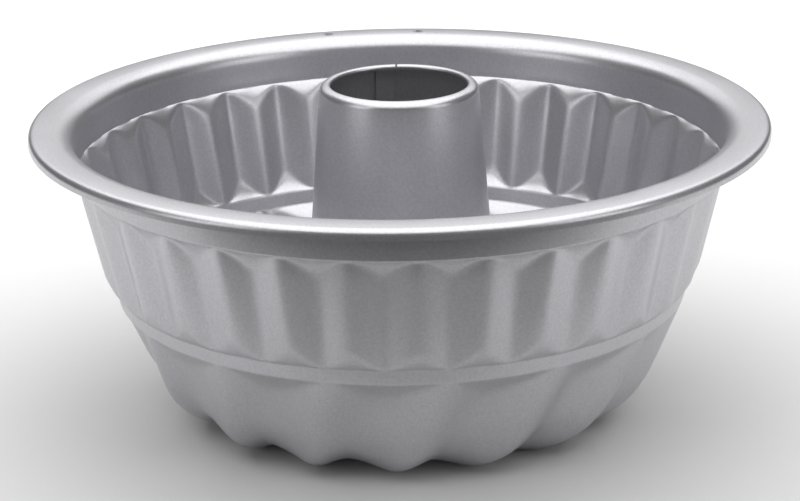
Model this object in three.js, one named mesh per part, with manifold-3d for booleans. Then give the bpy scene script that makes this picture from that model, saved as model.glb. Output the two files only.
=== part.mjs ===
// Fluted tube pan: a bowl drawn from coated steel sheet, with a rolled conical tube seamed into its floor.
// Millimetres, +Z up. The origin is on the pan's axis, at the level that the lobes stand on.
import * as THREE from "three";
import { mergeVertices } from "three/addons/utils/BufferGeometryUtils.js";
import Module from "manifold-3d";

const wasm = await Module();
wasm.setup();

// Sheet and fits
const sheet = 0.6; // thickness of the steel in both pieces
const seamGap = 0.3; // clearance between the tube and the shell, all round the seam

// Rim: a flat flange whose outer part is rolled down to a cut edge
const mouthRadius = 102.5; // inner end of the flat flange
const flangeWidth = 7.5; // from there to the rim's outside
const edgeWidth = 2.2; // outer part of the flange that is rolled down
const edgeDrop = 1.9; // fall of its top on the way to the cut edge
const flangeHeight = 90.4; // top of the flange above the table
const hangHole = 3.3; // diameter of the two holes in the rim
const hangHoleInset = 5.6; // from the rim's outside to the holes' centres
const hangHoleAngles = [176.3, 193]; // places of the holes round the rim, from the front

// Neck: the plain band under the flange
const neckBend = 3.7; // outside radius of the bend under the flange
const neckDepth = 12.8; // from the flange's top to the heads of the flutes
const neckNarrowing = 1.7; // how much the neck's radius narrows on the way down

// Lobes and flutes: two straight flutes stand over each swirled lobe
const lobeCount = 16;
const flutesPerLobe = 2;
const ridgeAngle = 2.6; // place of one flute's ridge, from the front towards +X
const fluteHeight = 32.2; // length of the ridges, measured upright
const fluteTaper = 11.75; // lean of the ridges, in degrees
const fluteDepth = 2.6; // valleys behind ridges
const fluteEndDrop = 2.8; // height of the slope that closes a flute at each end

// Ring: the plain band between the flutes and the lobes
const ringHeight = 4.3;

// Lobes: swirled waves that run from the ring to the floor
const lobeDepth = 3.4; // valleys behind crests
const lobeLean = 0.12; // how far one flank of a lobe is fuller than the other
const lobeEndDrop = 4.4; // height of the slope that closes a lobe's valley under the ring
const lobeWallLean = 23.2; // lean of the crests below the ring, in degrees
const lobeSlant = 17.3; // angle between the crests and the upright, along the sheet
const floorRadius = 30.3; // radius that turns the wall into the floor
const footWidth = 4.5; // level stretch of each crest that the pan stands on
const footFlat = 0.45; // how much of each crest is pressed flat there

// Hub: the plain land round the hole in the floor, with its edge turned down as a collar
const landRadius = 38;
const landHeight = 5.6; // underside of the land above the table
const collarDrop = 3.2; // depth of the collar below the land's underside
const collarBend = 0.6; // inside radius of the collar's bend
const riseBend = 0.45; // place of the bend between the feet and the land, as a share of the way
const riseLobe = 0.6; // share of the lobes' depth that is left at that bend

// Centre tube: a cone with its top edge curled in and its foot rolled round the collar
const tubeHeight = 100.8; // top of the curl above the table
const tubeTopRadius = 23.75; // outside, where the curl starts
const tubeBaseRadius = 30.95; // outside, on the land
const shoulderWidth = 2.4; // ledge on which the tube sits on the land
const rollHeight = 1.6; // upright leg of the roll outside the collar
const curlBore = 1.05; // inside radius of the curl
const curlTurn = 235; // how far the edge is curled, in degrees
const lapAngle = 189; // middle of the tube's lap seam, from the front
const lapWidth = 6; // width of the lap inside the tube
const lapSink = 0.3; // how far the lap strip is let into the wall that it lies on
const notchWidth = 1.1; // gap where the two ends of the curl meet, at the top
const notchDepth = 2.4;

// Mesh steps
const columnsPerLobe = 8;
const tubeColumns = 40;
const floorSteps = 3;
const curlSteps = 6;
const rollSteps = 3;
const edgeSteps = 3;
const neckSteps = 2;
const holeSides = 20;

const radians = THREE.MathUtils.degToRad;

// Points of an arc in the (radius, height) plane, without its first point
function arc(centre, radius, fromDegrees, toDegrees, steps) {
  const points = [];
  for (let i = 1; i <= steps; i += 1) {
    const angle = radians(fromDegrees + ((toDegrees - fromDegrees) * i) / steps);
    points.push(new THREE.Vector2(centre.x + radius * Math.cos(angle), centre.y + radius * Math.sin(angle)));
  }
  return points;
}

// Closed section of a bent sheet: its outside skin, then its other skin, one thickness to the left of it
function sheetSection(skin, thickness) {
  const normals = skin.slice(1).map((point, i) => {
    const along = point.clone().sub(skin[i]).normalize();
    return new THREE.Vector2(-along.y, along.x);
  });
  const other = skin.map((point, i) => {
    const before = normals[Math.max(i - 1, 0)];
    const after = normals[Math.min(i, normals.length - 1)];
    const middle = before.clone().add(after).normalize();
    return point.clone().addScaledVector(middle, thickness / middle.dot(before));
  });
  return [...skin, ...other.reverse(), skin[0].clone()];
}

// Full turn of a closed section about the upright axis, starting at an angle counted from the front
function turned(section, columns, startDegrees) {
  const lathe = new THREE.LatheGeometry(section, columns, radians(startDegrees), 2 * Math.PI);
  return lathe.rotateX(Math.PI / 2);
}

// Closed solid of a geometry, for joining and cutting
function solid(geometry) {
  const bare = geometry.clone();
  bare.deleteAttribute("normal");
  bare.deleteAttribute("uv");
  const merged = mergeVertices(bare, 1e-4);
  return new wasm.Manifold(
    new wasm.Mesh({
      numProp: 3,
      vertProperties: new Float32Array(merged.attributes.position.array),
      triVerts: new Uint32Array(merged.index.array),
    }),
  );
}

// Named mesh of a solid
function meshOf(body, name, material) {
  const result = body.getMesh();
  const geometry = new THREE.BufferGeometry();
  geometry.setAttribute("position", new THREE.BufferAttribute(result.vertProperties, 3));
  geometry.setIndex(new THREE.BufferAttribute(result.triVerts, 1));
  geometry.computeVertexNormals();
  const mesh = new THREE.Mesh(geometry, material);
  mesh.name = name;
  return mesh;
}

// Levels and radii that the shell's skin is drawn from, all on its outside
const rimRadius = mouthRadius + flangeWidth;
const flangeUnder = flangeHeight - sheet;
const fluteTop = new THREE.Vector2(mouthRadius - neckBend - neckNarrowing, flangeHeight - neckDepth);
const ridgeEnd = ridgePoint(fluteHeight);
const ringTop = ridgePoint(fluteHeight + fluteEndDrop).sub(new THREE.Vector2(fluteDepth, 0));
const ringBottom = new THREE.Vector2(
  ringTop.x - ringHeight * Math.tan(radians(fluteTaper)),
  ringTop.y - ringHeight,
);
const crestFoot = -footFlat;
const floorTurnHeight = floorRadius * (1 - Math.sin(radians(lobeWallLean)));
const wallEnd = new THREE.Vector2(
  ringBottom.x - (ringBottom.y - crestFoot - floorTurnHeight) * Math.tan(radians(lobeWallLean)),
  crestFoot + floorTurnHeight,
);
const floorCentre = new THREE.Vector2(
  wallEnd.x - floorRadius * Math.cos(radians(lobeWallLean)),
  crestFoot + floorRadius,
);
const collarInside = tubeBaseRadius - shoulderWidth + seamGap;
const collarOutside = collarInside + sheet;
const collarBottom = landHeight - collarDrop;

function ridgePoint(drop) {
  return new THREE.Vector2(fluteTop.x - drop * Math.tan(radians(fluteTaper)), fluteTop.y - drop);
}

// Stations of the shell's skin, from the collar out to the cut edge of the rim. A station's flute and lobe
// values say how far its valleys stand behind the skin, and its lift turns that from level to upright.
function shellStations() {
  const stations = [];
  const add = (points, values = {}) => {
    points.forEach((point) => stations.push({ point, flute: 0, lobe: 0, lift: 90, ...values }));
  };
  const bendCentre = new THREE.Vector2(collarOutside + collarBend, landHeight - collarBend);
  add([new THREE.Vector2(collarOutside, collarBottom)]);
  add([new THREE.Vector2(collarOutside, bendCentre.y), ...arc(bendCentre, collarBend, 180, 90, 1)]);
  const landEdge = new THREE.Vector2(landRadius, landHeight);
  add([landEdge]);
  const footInside = new THREE.Vector2(floorCentre.x - footWidth, crestFoot);
  add([footInside.clone().lerp(landEdge, riseBend)], { lobe: riseLobe * lobeDepth });
  add([footInside, new THREE.Vector2(floorCentre.x, crestFoot)], { lobe: lobeDepth });
  for (let i = 1; i <= floorSteps; i += 1) {
    const share = i / floorSteps;
    const [point] = arc(floorCentre, floorRadius, -90, -90 + (90 - lobeWallLean) * share, 1);
    add([point], { lobe: lobeDepth, lift: 90 * (1 - share) });
  }
  const valleyHead = ringBottom.clone().lerp(wallEnd, lobeEndDrop / (ringBottom.y - wallEnd.y));
  add([valleyHead], { lobe: lobeDepth, lift: 0 });
  add([ringBottom, ringTop]);
  add([ridgeEnd, ridgePoint(fluteEndDrop)], { flute: fluteDepth, lift: 0 });
  add([fluteTop]);
  const neckCentre = new THREE.Vector2(mouthRadius, flangeUnder - neckBend);
  add([new THREE.Vector2(mouthRadius - neckBend, neckCentre.y)]);
  add(arc(neckCentre, neckBend, 180, 90, neckSteps));
  const edgeAngle = 2 * Math.atan(edgeDrop / edgeWidth);
  const edgeRadius = edgeWidth / Math.sin(edgeAngle);
  const edgeCentre = new THREE.Vector2(rimRadius - edgeWidth, flangeHeight - edgeRadius);
  add([new THREE.Vector2(edgeCentre.x, flangeUnder)]);
  add(arc(edgeCentre, edgeRadius - sheet, 90, 90 - THREE.MathUtils.radToDeg(edgeAngle), edgeSteps));
  return stations;
}

// Swirl of each station in degrees, counted from the ring, so that the crests keep one slant along the sheet
function swirls(stations) {
  const ringIndex = stations.findIndex((station) => station.point === ringBottom);
  const angles = stations.map(() => 0);
  for (let i = ringIndex - 1; i >= 0; i -= 1) {
    const [from, to] = [stations[i + 1].point, stations[i].point];
    const turn = (from.distanceTo(to) * Math.tan(radians(lobeSlant))) / ((from.x + to.x) / 2);
    angles[i] = angles[i + 1] - THREE.MathUtils.radToDeg(turn);
  }
  return angles;
}

// Wave across the flutes, straight-sided: 0 on a ridge and 1 in a valley, for a phase in turns
function fluteWave(phase) {
  return 1 - Math.abs(1 - 2 * (phase - Math.floor(phase)));
}

// Wave across the lobes, round: 0 on a crest and 1 in a valley, with one flank fuller
function lobeWave(phase) {
  const angle = 2 * Math.PI * phase;
  return Math.max(0.5 - 0.5 * Math.cos(angle) - 0.5 * lobeLean * Math.sin(2 * angle), 0);
}

// Shell: the turned section, with each point moved by the flutes and lobes and turned by the swirl
function shellBody() {
  const stations = shellStations();
  const swirl = swirls(stations);
  const section = sheetSection(stations.map((station) => station.point), sheet);
  const geometry = turned(section, lobeCount * columnsPerLobe, ridgeAngle);
  const position = geometry.attributes.position;
  const lobePitch = 360 / lobeCount;
  const crestOffset = 0.5 / flutesPerLobe;
  for (let i = 0; i < position.count; i += 1) {
    const place = i % section.length;
    const inner = place >= stations.length && place < section.length - 1;
    const index = inner ? 2 * stations.length - 1 - place : place % (2 * stations.length);
    const station = stations[index];
    const lobes = Math.floor(i / section.length) / columnsPerLobe;
    const inset =
      station.flute * fluteWave(lobes * flutesPerLobe) + station.lobe * lobeWave(lobes - crestOffset);
    const radius = section[place].x - inset * Math.cos(radians(station.lift));
    const height = section[place].y + inset * Math.sin(radians(station.lift));
    const angle = radians(ridgeAngle + lobes * lobePitch + swirl[index]);
    const lowest = inner ? sheet : 0;
    position.setXYZ(i, radius * Math.sin(angle), -radius * Math.cos(angle), Math.max(height, lowest));
  }
  return hangHoleAngles.reduce((body, degrees) => body.subtract(hangHoleCutter(degrees)), solid(geometry));
}

// Upright cutter for one hole in the rim
function hangHoleCutter(degrees) {
  const cutter = new THREE.CylinderGeometry(hangHole / 2, hangHole / 2, 8 * sheet, holeSides);
  const reach = rimRadius - hangHoleInset;
  const angle = radians(degrees);
  cutter.rotateX(Math.PI / 2);
  cutter.translate(reach * Math.sin(angle), -reach * Math.cos(angle), flangeHeight);
  return solid(cutter);
}

// Tube: the roll round the collar, the ledge, the cone and the curl, with the lap added and the notch cut
const tubeSeat = landHeight + sheet + seamGap;
const curlRadius = curlBore + sheet;
const coneEnd = new THREE.Vector2(tubeTopRadius, tubeHeight - curlRadius);

function tubeBody() {
  const rollCentre = new THREE.Vector2((collarInside + collarOutside) / 2, collarBottom);
  const rollRadius = sheet / 2 + seamGap;
  const curlCentre = new THREE.Vector2(coneEnd.x - curlRadius, coneEnd.y);
  const skin = [
    new THREE.Vector2(rollCentre.x + rollRadius, collarBottom + rollHeight),
    new THREE.Vector2(rollCentre.x + rollRadius, collarBottom),
    ...arc(rollCentre, rollRadius, 0, -180, rollSteps),
    new THREE.Vector2(rollCentre.x - rollRadius, tubeSeat),
    new THREE.Vector2(tubeBaseRadius, tubeSeat),
    coneEnd,
    ...arc(curlCentre, curlRadius, 0, curlTurn, curlSteps),
  ];
  const tube = solid(turned(sheetSection(skin, sheet), tubeColumns, lapAngle));
  return tube.add(lapStrip()).subtract(notchCutter());
}

// Lap seam: a strip of the sheet's own thickness that lies on the inside of the cone
function lapStrip() {
  const foot = new THREE.Vector2(tubeBaseRadius, tubeSeat + 2 * sheet);
  const head = new THREE.Vector2(tubeTopRadius, coneEnd.y - 2 * curlRadius);
  const lean = Math.atan((foot.x - head.x) / (head.y - foot.y));
  const outline = new THREE.Shape();
  const inside = -2 * sheet;
  const outside = lapSink - sheet;
  outline.moveTo(-lapWidth / 2, inside);
  outline.lineTo(lapWidth / 2, inside);
  outline.lineTo(lapWidth / 2, outside);
  outline.lineTo(-lapWidth / 2, outside);
  const strip = new THREE.ExtrudeGeometry(outline, { depth: foot.distanceTo(head), bevelEnabled: false });
  strip.rotateX(lean);
  strip.translate(0, foot.x, foot.y);
  strip.rotateZ(radians(lapAngle - 180));
  return solid(strip);
}

// Wedge that opens the curl where its two ends meet, over one edge of the lap
function notchCutter() {
  const notchAngle = radians(lapAngle - 180) - Math.asin(lapWidth / 2 / tubeTopRadius);
  const outline = new THREE.Shape();
  outline.moveTo(0, tubeHeight - notchDepth);
  outline.lineTo(notchWidth, tubeHeight + notchDepth);
  outline.lineTo(-notchWidth, tubeHeight + notchDepth);
  const wedge = new THREE.ExtrudeGeometry(outline, { depth: 4 * curlRadius, bevelEnabled: false });
  wedge.rotateX(Math.PI / 2);
  wedge.translate(0, tubeTopRadius + curlRadius, 0);
  wedge.rotateZ(notchAngle);
  return solid(wedge);
}

// Finish: a silver-grey non-stick coating on both pieces
const coating = { color: 0x8b8a90, roughness: 0.42, metalness: 0.75 };

const pan = new THREE.Group();
pan.name = "fluted_tube_pan";
pan.add(meshOf(shellBody(), "pan_shell", new THREE.MeshStandardMaterial(coating)));
pan.add(meshOf(tubeBody(), "centre_tube", new THREE.MeshStandardMaterial(coating)));

export default pan;
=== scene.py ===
import math

import bmesh
import bpy
from mathutils import Matrix, Vector


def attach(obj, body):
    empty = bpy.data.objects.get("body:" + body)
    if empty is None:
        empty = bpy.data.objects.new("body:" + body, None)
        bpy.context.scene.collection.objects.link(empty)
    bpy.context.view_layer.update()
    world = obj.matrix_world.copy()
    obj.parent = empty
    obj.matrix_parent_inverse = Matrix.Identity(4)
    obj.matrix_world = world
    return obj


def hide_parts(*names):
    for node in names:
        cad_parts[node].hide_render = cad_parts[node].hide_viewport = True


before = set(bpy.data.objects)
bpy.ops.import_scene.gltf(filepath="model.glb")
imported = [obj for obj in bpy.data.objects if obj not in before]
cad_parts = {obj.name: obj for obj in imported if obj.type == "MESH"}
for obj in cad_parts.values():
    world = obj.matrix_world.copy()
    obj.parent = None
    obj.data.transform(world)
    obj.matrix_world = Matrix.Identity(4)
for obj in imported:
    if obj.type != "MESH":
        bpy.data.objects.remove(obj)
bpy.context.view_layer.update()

# Pan shell: the bowl, one deep-drawn disc of thin steel sheet under a satin silver-grey non-stick coating.
# Straight flutes stand over a plain ring and swirled lobes, the rim flange has two punched holes, and the
# edge of the hole in the floor is turned down as a collar that holds the tube.
mm = 0.001
sheet = 0.6 * mm
columns = 448

# Rim and neck, outside of the sheet
flange_top = 90.8 * mm
rim_roll_start = 108.0 * mm
rim_roll_radius = 2.0 * mm
rim_skirt = 1.1 * mm
mouth_radius = 102.05 * mm
neck_bend = 4.7 * mm

# Flutes and ring
flute_count = 32
ridge_angle = math.radians(2.57)
flute_head_radius = 97.1 * mm
flute_head_height = 77.6 * mm
flute_taper = math.tan(math.radians(11.75))
neck_start = 70.0 * mm
neck_curve = 5.78
flute_depth = 3.2 * mm
flute_head_slope = 0.6
flute_tail_slope = 0.55
flute_end_roundness = 0.7
ridge_rounding_top = 0.9 * mm
ridge_rounding_foot = 2.6 * mm
valley_rounding_top = 2.3 * mm
valley_rounding_foot = 0.8 * mm
ring_top = 42.6 * mm
ring_bottom = 38.3 * mm

# Lobes and floor
lobe_count = 16
crest_angle = math.radians(5.21)
lobe_depth_at_ring = 3.75 * mm
lobe_depth_at_floor = 3.1 * mm
lobe_lean = -0.123
lobe_fullness = 0.075
lobe_tail_slope = 0.55
lobe_end_roundness = 4
crest_softness = 0.3 * mm
lobe_slant = math.tan(math.radians(17.27))
wall_lean = math.radians(23.2)
floor_radius = 30.3 * mm
floor_centre = Vector((49.74 * mm, 0, 29.85 * mm))

# Hub
foot_inside = 47.0 * mm
rise_radius = 8.0 * mm
rise_turn = math.radians(40)
land_height = 5.6 * mm
land_bend = 3.0 * mm
collar_outside = 29.45 * mm
collar_bend = 0.6 * mm
collar_bottom = 2.4 * mm


def carry_on(outline, end, radius, height, steps):
    """Adds a straight stretch to an open outline in the XZ plane, and returns its new end."""
    start = end.co.copy()
    goal = Vector((radius, 0, height))
    for step in range(1, steps + 1):
        end = bmesh.ops.extrude_vert_indiv(outline, verts=[end])["verts"][0]
        end.co = start.lerp(goal, step / steps)
    return end


def bend_on(outline, end, centre, turn, steps):
    """Adds an arc about a centre, anticlockwise for a turn above zero, and returns its new end."""
    made = bmesh.ops.spin(outline, geom=[end], cent=centre, axis=(0, -1, 0), angle=turn, steps=steps)
    return next(part for part in made["geom_last"] if isinstance(part, bmesh.types.BMVert))


def larger(first, second, softness):
    """The larger of two values, with a soft change from one to the other."""
    return (first + second + math.hypot(first - second, softness)) / 2


def eased(depth, allowed):
    """A depth that is reached along a slope, steep where it starts and flat where it ends, sooner if shallow."""
    if depth <= 0 or allowed <= 0:
        return 0
    share = min(allowed / (2 * depth) * (flute_depth / depth) ** flute_end_roundness, 1)
    return depth * share * (2 - share)


def flute_inset(turns, half_width, ridge_rounding, valley_rounding):
    """How far a flute's side stands behind its ridge: straight, with a rounded ridge and valley."""
    from_ridge = abs(turns - round(turns)) * 2 * half_width
    to_valley = half_width - from_ridge
    over_ridge = math.hypot(from_ridge, ridge_rounding) - from_ridge
    over_valley = math.hypot(to_valley, valley_rounding) - to_valley
    return flute_depth / half_width * (from_ridge + over_ridge - over_valley)


def lobe_wave(turns):
    """0 on a crest and 1 in a valley, round, with one flank fuller than the other."""
    angle = 2 * math.pi * turns
    wave = 0.5 - 0.5 * math.cos(angle)
    return wave + lobe_fullness * (1 - math.cos(2 * angle)) / 2 + lobe_lean * math.sin(2 * angle) / 2


def closed_off(depth, allowed):
    """The smaller of a lobe's depth and the depth allowed near the ring, with a soft change between them."""
    power = lobe_end_roundness
    return depth * allowed / (depth ** power + allowed ** power) ** (1 / power)


def ridge_radius(height):
    """Outside of the ridges, and of the neck above them, which curves until it is nearly upright."""
    curved = max(height - neck_start, 0)
    return flute_head_radius + (height - flute_head_height) * flute_taper - neck_curve * curved ** 2


def upper_wall_radius(height, turns):
    """Outside of the neck, flutes and ring at a height, across the flutes."""
    ridge = ridge_radius(height)
    if height >= flute_head_height:
        return ridge
    down = min((flute_head_height - height) / (flute_head_height - ring_top), 1)
    over_ridge = ridge_rounding_top + (ridge_rounding_foot - ridge_rounding_top) * down
    in_valley = valley_rounding_top + (valley_rounding_foot - valley_rounding_top) * down
    inset = flute_inset(turns, math.pi * ridge / flute_count, over_ridge, in_valley)
    inset = eased(inset, flute_head_slope * (flute_head_height - height))
    standing = eased(flute_depth - inset, flute_tail_slope * (height - ring_top))
    return ridge - flute_depth + standing


# The outline runs from the cut edge of the rim down the outside to the collar.
shell = bmesh.new()
roll_middle = Vector((rim_roll_start, 0, flange_top - rim_roll_radius))
roll_under = rim_roll_radius - sheet
end = shell.verts.new((rim_roll_start + roll_under, 0, roll_middle.z - rim_skirt))
end = carry_on(shell, end, rim_roll_start + roll_under, roll_middle.z, 2)
end = bend_on(shell, end, roll_middle, math.pi / 2, 7)
end = carry_on(shell, end, mouth_radius, flange_top - sheet, 2)
neck_centre = Vector((mouth_radius, 0, flange_top - sheet - neck_bend))
ring_foot = ridge_radius(ring_bottom) - flute_depth
end = bend_on(shell, end, neck_centre, math.pi / 2, 8)
# Heights down the wall and the steps to each, closer together where the flutes start and end
wall_rows = ((77.95, 4), (77.6, 1), (77.25, 1), (69.6, 12), (53.0, 5), (42.95, 15),
             (42.6, 1), (42.25, 1), (38.65, 2), (38.3, 1))
for height, steps in wall_rows:
    end = carry_on(shell, end, ring_foot, height * mm, steps)
wall_end = floor_centre + floor_radius * Vector((math.cos(wall_lean), 0, -math.sin(wall_lean)))
fine_rows_share = 0.48
fine_rows_end = end.co.lerp(wall_end, fine_rows_share)
end = carry_on(shell, end, fine_rows_end.x, fine_rows_end.z, 14)
end = carry_on(shell, end, wall_end.x, wall_end.z, 4)
end = bend_on(shell, end, floor_centre, wall_lean - math.pi / 2, 13)
end = carry_on(shell, end, foot_inside, end.co.z, 1)
end = bend_on(shell, end, end.co + Vector((0, 0, rise_radius)), -rise_turn, 3)
bend_drop = land_bend * (1 - math.cos(rise_turn))
slope_run = (land_height - bend_drop - end.co.z) / math.tan(rise_turn)
end = carry_on(shell, end, end.co.x - slope_run, land_height - bend_drop, 2)
land_centre = end.co - land_bend * Vector((math.sin(rise_turn), 0, math.cos(rise_turn)))
end = bend_on(shell, end, land_centre, rise_turn, 3)
land_edge = end.co.x
end = carry_on(shell, end, collar_outside + collar_bend, land_height, 2)
collar_centre = Vector((collar_outside + collar_bend, 0, land_height - collar_bend))
end = bend_on(shell, end, collar_centre, math.pi / 2, 3)
end = carry_on(shell, end, collar_outside, collar_bottom, 2)

# Each station keeps what the lobes do there: their swirl, how much of their depth is left, and whether they
# cut in level or upright.
swirl_here = shell.verts.layers.float.new("swirl")
depth_here = shell.verts.layers.float.new("lobe_depth")
lift_here = shell.verts.layers.float.new("lift")
upper_here = shell.verts.layers.int.new("upper")
stations = list(shell.verts)
swirl = 0.0
for before, vert in zip(stations, stations[1:]):
    if vert.co.x < mouth_radius - neck_bend + 1e-6 and vert.co.z > ring_bottom - 1e-6:
        vert[upper_here] = 1
    elif vert.co.x < ring_foot and vert.co.z < ring_bottom:
        step = (vert.co - before.co).length
        swirl -= lobe_slant * step * 2 / (vert.co.x + before.co.x)
        down = (ring_bottom - vert.co.z) / ring_bottom
        fade = min(max((vert.co.x - land_edge) / (foot_inside - land_edge), 0), 1)
        depth = lobe_depth_at_ring + (lobe_depth_at_floor - lobe_depth_at_ring) * min(down, 1)
        on_floor = math.atan2(vert.co.x - floor_centre.x, floor_centre.z - vert.co.z)
        vert[swirl_here] = swirl
        vert[depth_here] = depth * fade * fade * (3 - 2 * fade)
        vert[lift_here] = math.pi / 2 * (1 - min(max(on_floor / (math.pi / 2 - wall_lean), 0), 1))

bmesh.ops.spin(shell, geom=shell.verts[:] + shell.edges[:], cent=(0, 0, 0), axis=(0, 0, 1),
               angle=2 * math.pi, steps=columns, use_merge=True)
bmesh.ops.remove_doubles(shell, verts=shell.verts[:], dist=1e-6)
for vert in shell.verts:
    around = math.atan2(vert.co.x, -vert.co.y)
    radius = math.hypot(vert.co.x, vert.co.y)
    height = vert.co.z
    if vert[upper_here]:
        radius = upper_wall_radius(height, around * flute_count / (2 * math.pi))
    elif vert[depth_here] > 0:
        turns = (around - crest_angle) * lobe_count / (2 * math.pi)
        closing = lobe_tail_slope * (ring_bottom - height)
        depth = vert[depth_here] * lobe_wave(turns)
        inset = closed_off(depth, closing)
        radius -= inset * math.cos(vert[lift_here])
        height = larger(height + inset * math.sin(vert[lift_here]), 0, crest_softness)
    angle = around + ridge_angle + vert[swirl_here]
    vert.co = (radius * math.sin(angle), -radius * math.cos(angle), height)
bmesh.ops.recalc_face_normals(shell, faces=shell.faces[:])
lowest = min(shell.faces, key=lambda face: face.calc_center_median().z)
if lowest.normal.z > 0:
    bmesh.ops.reverse_faces(shell, faces=shell.faces[:])


def piece(name, mesh_work):
    """Smooth-shaded object at the origin from a finished bmesh."""
    mesh = bpy.data.meshes.new(name)
    mesh_work.to_mesh(mesh)
    mesh_work.free()
    mesh.polygons.foreach_set("use_smooth", [True] * len(mesh.polygons))
    made = bpy.data.objects.new(name, mesh)
    bpy.context.scene.collection.objects.link(made)
    return made


def cut_away(solid, tool):
    """Cuts one tool out of a piece, with all of the piece's modifiers applied, and removes the tool."""
    cut = solid.modifiers.new("cut", "BOOLEAN")
    cut.object = tool
    cut.solver = "EXACT"
    bpy.context.view_layer.update()
    seen = solid.evaluated_get(bpy.context.evaluated_depsgraph_get())
    solid.data = bpy.data.meshes.new_from_object(seen)
    solid.modifiers.clear()
    bpy.data.objects.remove(tool)


pan_shell = piece("pan_shell_drawn", shell)
wall = pan_shell.modifiers.new("sheet", "SOLIDIFY")
wall.thickness = sheet
wall.offset = -1

hole_diameter = 3.3 * mm
hole_reach = 104.4 * mm
punch = bmesh.new()
for hole_angle in (176.3, 193.0):
    turned = math.radians(hole_angle)
    spot = Matrix.Translation((hole_reach * math.sin(turned), -hole_reach * math.cos(turned), flange_top))
    bmesh.ops.create_cone(punch, cap_ends=True, segments=32, radius1=hole_diameter / 2,
                          radius2=hole_diameter / 2, depth=6 * mm, matrix=spot)
cut_away(pan_shell, piece("punch", punch))
pan_shell.data.set_sharp_from_angle(angle=math.radians(50))


def flake_coating_group():
    """Metallic flake in the coating: speckled colour, a roughness that wanders, and a fine tooth."""
    group = bpy.data.node_groups.new("flake_coating", "ShaderNodeTree")
    sockets = group.interface
    sockets.new_socket("Colour", in_out="INPUT", socket_type="NodeSocketColor")
    sockets.new_socket("Flake Strength", in_out="INPUT", socket_type="NodeSocketFloat")
    sockets.new_socket("Roughness", in_out="INPUT", socket_type="NodeSocketFloat")
    sockets.new_socket("Colour", in_out="OUTPUT", socket_type="NodeSocketColor")
    sockets.new_socket("Roughness", in_out="OUTPUT", socket_type="NodeSocketFloat")
    sockets.new_socket("Normal", in_out="OUTPUT", socket_type="NodeSocketVector")
    add, link = group.nodes.new, group.links.new
    given, result = add("NodeGroupInput"), add("NodeGroupOutput")
    place = add("ShaderNodeTexCoord")

    flakes = add("ShaderNodeTexNoise")
    flakes.inputs["Scale"].default_value = 1400
    flakes.inputs["Detail"].default_value = 1
    link(place.outputs["Object"], flakes.inputs["Vector"])
    clouds = add("ShaderNodeTexNoise")
    clouds.inputs["Scale"].default_value = 45
    clouds.inputs["Detail"].default_value = 4
    link(place.outputs["Object"], clouds.inputs["Vector"])

    flake_light = add("ShaderNodeMath")
    flake_light.operation = "MULTIPLY_ADD"
    link(flakes.outputs["Fac"], flake_light.inputs[0])
    link(given.outputs["Flake Strength"], flake_light.inputs[1])
    flake_light.inputs[2].default_value = 0.79
    cloud_light = add("ShaderNodeMath")
    cloud_light.operation = "MULTIPLY_ADD"
    link(clouds.outputs["Fac"], cloud_light.inputs[0])
    cloud_light.inputs[1].default_value = 0.12
    link(flake_light.outputs["Value"], cloud_light.inputs[2])
    speckled = add("ShaderNodeVectorMath")
    speckled.operation = "SCALE"
    link(given.outputs["Colour"], speckled.inputs["Vector"])
    link(cloud_light.outputs["Value"], speckled.inputs["Scale"])
    link(speckled.outputs["Vector"], result.inputs["Colour"])

    wander = add("ShaderNodeMath")
    wander.operation = "MULTIPLY_ADD"
    link(clouds.outputs["Fac"], wander.inputs[0])
    wander.inputs[1].default_value = 0.10
    link(given.outputs["Roughness"], wander.inputs[2])
    link(wander.outputs["Value"], result.inputs["Roughness"])

    tooth = add("ShaderNodeTexNoise")
    tooth.inputs["Scale"].default_value = 1500
    tooth.inputs["Detail"].default_value = 3
    link(place.outputs["Object"], tooth.inputs["Vector"])
    bump = add("ShaderNodeBump")
    bump.inputs["Strength"].default_value = 0.10
    bump.inputs["Distance"].default_value = 0.1 * mm
    link(tooth.outputs["Fac"], bump.inputs["Height"])
    link(bump.outputs["Normal"], result.inputs["Normal"])
    return group


flake_coating = flake_coating_group()


def coating_material(name, colour, flake_strength, roughness):
    """Satin non-stick coating on steel."""
    material = bpy.data.materials.new(name)
    material.use_nodes = True
    shader = material.node_tree.nodes["Principled BSDF"]
    shader.inputs["Metallic"].default_value = 0.84
    grain = material.node_tree.nodes.new("ShaderNodeGroup")
    grain.node_tree = flake_coating
    grain.inputs["Colour"].default_value = colour
    grain.inputs["Flake Strength"].default_value = flake_strength
    grain.inputs["Roughness"].default_value = roughness
    for output, socket in (("Colour", "Base Color"), ("Roughness", "Roughness"), ("Normal", "Normal")):
        material.node_tree.links.new(grain.outputs[output], shader.inputs[socket])
    return material


coating_colour = (0.57, 0.564, 0.592, 1)
coating_flake = 0.3
coating_roughness = 0.28
shell_finish = coating_material("satin_silver_coating", coating_colour, coating_flake, coating_roughness)
pan_shell.data.materials.clear()
pan_shell.data.materials.append(shell_finish)
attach(pan_shell, "root")
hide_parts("pan_shell")

# Centre tube: a cone rolled from a strip of the same coated sheet, closed by a lap seam on its back.
# Its top edge is curled inwards, with a small gap where the curl's ends meet, and its foot sits on the land
# and is rolled round the shell's collar from below.
tube_height = 100.8 * mm
tube_base_radius = 30.95 * mm
tube_seat = 6.5 * mm
cone_top = 98.46 * mm
cone_lean = math.radians(4.445)
tube_columns = 288
lip_shoulder = 2.5 * mm
lip_shoulder_end = math.radians(90)
lip_radius = 0.9 * mm
lip_end = math.radians(235)
roll_radius = 0.6 * mm
roll_centre = Vector((29.15 * mm, 0, collar_bottom))
roll_leg = 1.6 * mm

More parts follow.
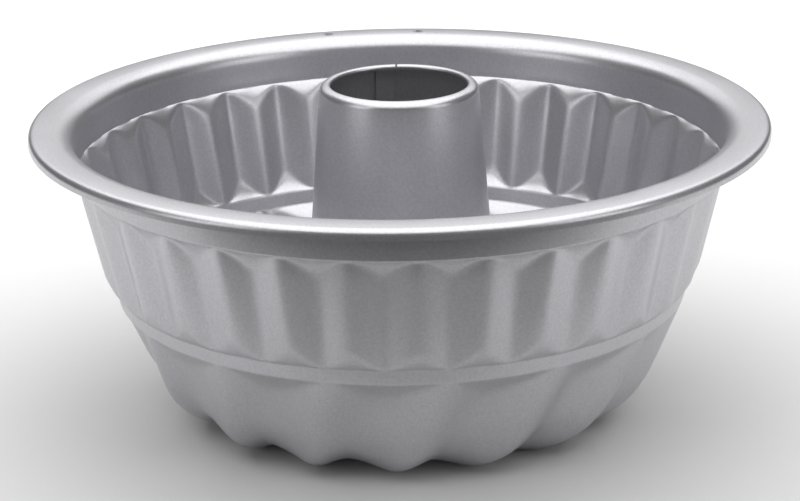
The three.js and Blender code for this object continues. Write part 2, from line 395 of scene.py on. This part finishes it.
tube = bmesh.new()
end = tube.verts.new((roll_centre.x + roll_radius, 0, collar_bottom + roll_leg))
end = carry_on(tube, end, roll_centre.x + roll_radius, collar_bottom, 2)
end = bend_on(tube, end, roll_centre, -math.pi, 8)
end = carry_on(tube, end, roll_centre.x - roll_radius, tube_seat, 2)
end = carry_on(tube, end, tube_base_radius, tube_seat, 2)
cone_top_radius = tube_base_radius - (cone_top - tube_seat) * math.tan(cone_lean)
end = carry_on(tube, end, cone_top_radius, cone_top, 12)
shoulder_centre = end.co - lip_shoulder * Vector((math.cos(cone_lean), 0, math.sin(cone_lean)))
end = bend_on(tube, end, shoulder_centre, lip_shoulder_end - cone_lean, 10)
lip_centre = end.co - lip_radius * Vector((math.cos(lip_shoulder_end), 0, math.sin(lip_shoulder_end)))
end = bend_on(tube, end, lip_centre, lip_end - lip_shoulder_end, 14)
bmesh.ops.spin(tube, geom=tube.verts[:] + tube.edges[:], cent=(0, 0, 0), axis=(0, 0, 1),
               angle=2 * math.pi, steps=tube_columns, use_merge=True)
bmesh.ops.remove_doubles(tube, verts=tube.verts[:], dist=1e-6)
bmesh.ops.recalc_face_normals(tube, faces=tube.faces[:])
cone_face = min(tube.faces, key=lambda face: abs(face.calc_center_median().z - tube_height / 2))
if cone_face.normal.dot(cone_face.calc_center_median()) < 0:
    bmesh.ops.reverse_faces(tube, faces=tube.faces[:])
centre_tube = piece("centre_tube_rolled", tube)
wall = centre_tube.modifiers.new("sheet", "SOLIDIFY")
wall.thickness = sheet
wall.offset = -1

# Gap where the two ends of the curl meet
notch_angle = math.radians(2.1)
notch_width = 0.8 * mm
notch_depth = 1.9 * mm
wedge = bmesh.new()
bmesh.ops.create_cone(wedge, cap_ends=True, segments=3, radius1=notch_depth, radius2=notch_depth, depth=8 * mm)
upright = Matrix.Rotation(math.pi / 2, 4, "X") @ Matrix.Rotation(math.pi / 2, 4, "Z")
bmesh.ops.transform(wedge, verts=wedge.verts[:], matrix=upright)
tip = min(vert.co.z for vert in wedge.verts)
for vert in wedge.verts:
    up = (vert.co.z - tip) / (1.5 * notch_depth)
    vert.co.x = math.copysign(notch_width * 0.75 * up, vert.co.x) if up > 0.1 else 0
    vert.co.z = tube_height - notch_depth + up * 1.5 * notch_depth
    vert.co.y += cone_top_radius - lip_shoulder
bmesh.ops.remove_doubles(wedge, verts=wedge.verts[:], dist=1e-6)
bmesh.ops.rotate(wedge, verts=wedge.verts[:], cent=(0, 0, 0), matrix=Matrix.Rotation(notch_angle, 3, "Z"))
bmesh.ops.recalc_face_normals(wedge, faces=wedge.faces[:])
cut_away(centre_tube, piece("wedge", wedge))

# Lap: inside the cone one end of the strip steps in over the other, in a soft bend on one side, and stops at
# an open crack on the other. Values are degrees from the front, and the depth of the crack.
column_pitch = 360 / tube_columns
lap_bend = 182.5
lap_edge = 197.5
crack_depth = 0.35 * mm
for vert in centre_tube.data.vertices:
    radius = math.hypot(vert.co.x, vert.co.y)
    around = math.degrees(math.atan2(vert.co.x, -vert.co.y)) % 360
    outside = tube_base_radius - (vert.co.z - tube_seat) * math.tan(cone_lean)
    on_inside = 0.5 * sheet < outside - radius < 1.5 * sheet
    if not on_inside or not tube_seat + 2 * sheet < vert.co.z < cone_top - sheet:
        continue
    past_edge = round((around - lap_edge) / column_pitch)
    if lap_bend - 2 * column_pitch < around and past_edge <= 0:
        radius -= sheet * min(max((around - lap_bend) / (2 * column_pitch) + 0.5, 0), 1)
    elif past_edge == 1:
        radius += crack_depth
        around -= 0.8 * column_pitch
    elif past_edge == 2:
        around -= column_pitch
    angle = math.radians(around)
    vert.co = (radius * math.sin(angle), -radius * math.cos(angle), vert.co.z)
centre_tube.data.set_sharp_from_angle(angle=math.radians(50))

tube_finish = coating_material("satin_silver_tube_coating", coating_colour, coating_flake, coating_roughness)
centre_tube.data.materials.clear()
centre_tube.data.materials.append(tube_finish)
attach(centre_tube, "root")
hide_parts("centre_tube")

# Floor: a table under a sheet of paper, pale far off and a little greyer towards the front, where the grey is
# painted shade near the pan. The sheet folds down over the table's front edge, just before the pan, and ends on a
# lower step, where it is a plain grey: painted shade for the pan's front to reflect.
table_front = 130.0 * mm
table_back = 1.3
table_width = 2.0
fold_radius = 8.0 * mm
table_drop = 0.06
step_front = 0.28
paper_sheet = bmesh.new()
end = paper_sheet.verts.new((-table_back, 0, 0))
end = carry_on(paper_sheet, end, table_front - fold_radius, 0, 8)
end = bend_on(paper_sheet, end, Vector((table_front - fold_radius, 0, -fold_radius)), -math.pi / 2, 6)
end = carry_on(paper_sheet, end, table_front, -table_drop, 3)
end = carry_on(paper_sheet, end, step_front, -table_drop, 3)
drawn = bmesh.ops.extrude_edge_only(paper_sheet, edges=paper_sheet.edges[:])["geom"]
drawn = [part for part in drawn if isinstance(part, bmesh.types.BMVert)]
bmesh.ops.translate(paper_sheet, verts=drawn, vec=(0, table_width, 0))
bmesh.ops.translate(paper_sheet, verts=paper_sheet.verts[:], vec=(0, -table_width / 2, 0))
bmesh.ops.rotate(paper_sheet, verts=paper_sheet.verts[:], cent=(0, 0, 0),
                 matrix=Matrix.Rotation(-math.pi / 2, 3, "Z"))
bmesh.ops.recalc_face_normals(paper_sheet, faces=paper_sheet.faces[:])
floor_sweep = piece("floor_sweep", paper_sheet)
pale_paper_with_painted_shade = bpy.data.materials.new("pale_paper_with_painted_shade")
pale_paper_with_painted_shade.use_nodes = True
paper = pale_paper_with_painted_shade.node_tree.nodes["Principled BSDF"]
paper_place = pale_paper_with_painted_shade.node_tree.nodes.new("ShaderNodeTexCoord")
paper_axes = pale_paper_with_painted_shade.node_tree.nodes.new("ShaderNodeSeparateXYZ")
paper_grade = pale_paper_with_painted_shade.node_tree.nodes.new("ShaderNodeMapRange")
paper_grade.inputs["From Min"].default_value = -0.4
paper_grade.inputs["From Max"].default_value = 0.6
# Painted shade: the paper's colour runs from grey on the step and near the pan's front to pale far off
paper_painted_shade = pale_paper_with_painted_shade.node_tree.nodes.new("ShaderNodeValToRGB")
painted_shade_stops = paper_painted_shade.color_ramp.elements
painted_shade_stops[0].position, painted_shade_stops[1].position = 0.22, 0.8
for tone, grey in ((painted_shade_stops[0], 0.36), (painted_shade_stops[1], 0.9), (painted_shade_stops.new(0.26), 0.36), (painted_shade_stops.new(0.28), 0.7),
                   (painted_shade_stops.new(0.45), 0.76)):
    tone.color = (grey, grey, grey, 1)
paper_link = pale_paper_with_painted_shade.node_tree.links.new
paper_link(paper_place.outputs["Object"], paper_axes.inputs["Vector"])
paper_link(paper_axes.outputs["Y"], paper_grade.inputs["Value"])
paper_link(paper_grade.outputs["Result"], paper_painted_shade.inputs["Fac"])
paper_link(paper_painted_shade.outputs["Color"], paper.inputs["Base Color"])
paper.inputs["Roughness"].default_value = 0.8
paper.inputs["Specular IOR Level"].default_value = 0.1
floor_sweep.data.materials.append(pale_paper_with_painted_shade)

# Studio: a soft box overhead, one on each side towards the front, one behind, and a dim room.
lamp_distance = 1.2
lamp_aim = Vector((0, 0, 0.05))


def soft_box(name, around, above, width, height, brightness):
    """Lamp that faces the pan, by degrees from the front and above the table."""
    lamp = bpy.data.lights.new(name, "AREA")
    lamp.shape = "RECTANGLE"
    lamp.size = width
    lamp.size_y = height
    lamp.energy = math.pi * width * height * brightness
    box = bpy.data.objects.new(name, lamp)
    turned, raised = math.radians(around), math.radians(above)
    towards = Vector((math.sin(turned) * math.cos(raised), -math.cos(turned) * math.cos(raised), math.sin(raised)))
    box.location = lamp_distance * towards + lamp_aim
    box.rotation_euler = (-towards).to_track_quat("-Z", "Y").to_euler()
    bpy.context.scene.collection.objects.link(box)


soft_box("top_panel", 0, 88, 2.4, 2.4, 1.9)
soft_box("left_box", -58, 16, 0.6, 0.6, 1.4)
soft_box("right_box", 58, 16, 0.6, 0.6, 1.4)
soft_box("back_box", 180, 33, 1.8, 0.65, 1.15)
world = bpy.data.worlds.new("dim_room")
world.use_nodes = True
world.node_tree.nodes["Background"].inputs["Color"].default_value = (0.1, 0.1, 0.1, 1)
bpy.context.scene.world = world
bpy.context.scene.view_settings.view_transform = "Standard"

# Camera: a long lens, a little above the rim.
view_angle = math.radians(18.7)
view_roll = math.radians(-0.86)
view_distance = 765.83 * mm
focal_length = 113.49
aim = Vector((-0.434 * mm, 0, 48.03 * mm))
lens = bpy.data.cameras.new("view")
lens.sensor_width = 36
lens.lens = focal_length
camera = bpy.data.objects.new("view", lens)
turn = Matrix.Rotation(math.pi / 2 - view_angle, 4, "X") @ Matrix.Rotation(view_roll, 4, "Z")
away = Vector((0, -math.cos(view_angle), math.sin(view_angle)))
camera.matrix_world = Matrix.Translation(aim + view_distance * away) @ turn
bpy.context.scene.collection.objects.link(camera)
bpy.context.scene.camera = camera
